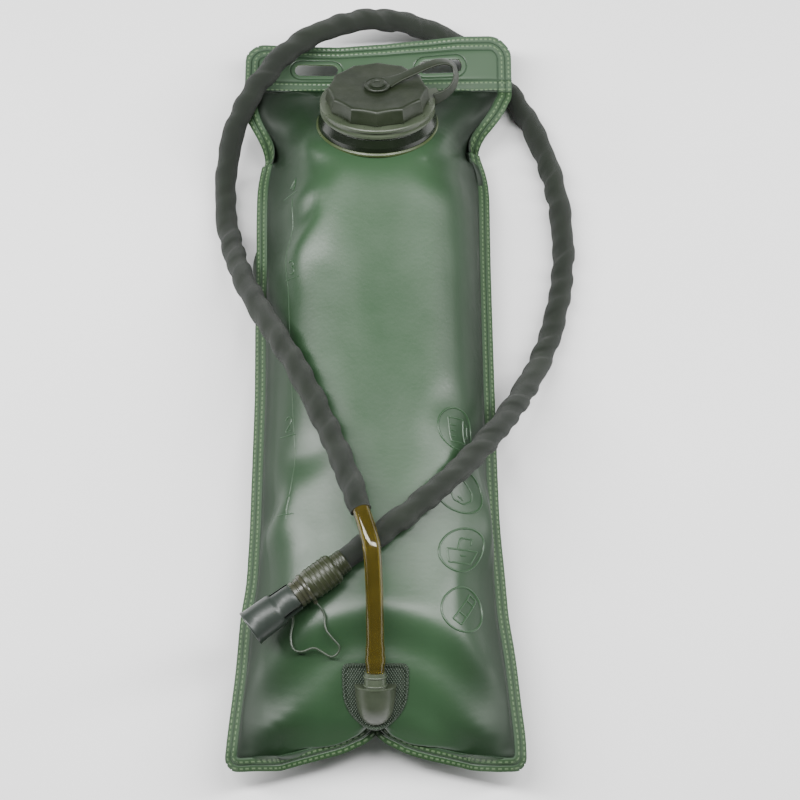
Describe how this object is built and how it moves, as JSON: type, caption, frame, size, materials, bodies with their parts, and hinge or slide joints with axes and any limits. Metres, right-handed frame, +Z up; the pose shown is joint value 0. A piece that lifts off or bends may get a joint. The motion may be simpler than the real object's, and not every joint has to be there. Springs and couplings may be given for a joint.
{
  "type": "hydration bladder",
  "caption": "Long inflated film reservoir lying flat, with a leaning screw-cap filler on a leash, a slotted header, and a sleeved drinking hose with a covered bite valve.",
  "frame": {"origin": "centre of the bag's box, on the surface it lies on", "axes": "+Y towards the header with the hanging slots, -Y towards the foot with the outlet port, +Z up out of the front face, X across the bag"},
  "size_m": [0.2279, 0.4889, 0.0932],
  "materials": {
    "film": "satin translucent film",
    "filler": "moulded, satin",
    "collar": "satin",
    "leash": "moulded, satin",
    "cap": "moulded, fine grain",
    "seal": "matte",
    "port": "moulded, knurled rim",
    "connector": "moulded, satin",
    "hose": "clear amber, polished",
    "sleeve": "woven, matte",
    "valve": "moulded, satin",
    "mouthpiece": "soft, matte",
    "cover": "moulded, satin",
    "tether": "satin cord"
  },
  "bodies": {
    "root": {"front_panel": "film", "back_panel": "film", "filler_neck": "filler", "neck_collar": "collar", "leash_ring": "leash", "port_base": "port", "port_boss": "port", "port_seal": "seal", "port_connector": "connector", "hose": "hose", "hose_sleeve": "sleeve", "valve_collar": "valve", "valve_grip": "valve", "tether_ring": "valve", "valve_neck": "valve", "tether": "tether"},
    "leash": {"leash_eye": "leash", "leash_strap": "leash"},
    "cap": {"cap": "cap", "cap_seal": "seal", "leash_button": "cap"},
    "mouthpiece": {"bite_valve": "mouthpiece"},
    "cover": {"dust_cover": "cover"}
  },
  "joints": [
    {"name": "cap_lift", "type": "slide", "parent": "root", "child": "leash", "axis": [0, 0.5446, 0.8387], "range_m": [0, 0.03]},
    {"name": "cap_turn", "type": "hinge", "parent": "leash", "child": "cap", "pos_m": [0, 0.163, 0.0493], "axis": [0, 0.5446, 0.8387], "range_deg": [0, 540]},
    {"name": "mouthpiece_twist", "type": "hinge", "parent": "root", "child": "mouthpiece", "pos_m": [-0.017, -0.119, 0.0723], "axis": [-0.8059, -0.589, -0.06], "range_deg": [0, 90]},
    {"name": "cover_pull", "type": "slide", "parent": "root", "child": "cover", "axis": [-0.8059, -0.589, -0.06], "range_m": [0, 0.036]}
  ]
}
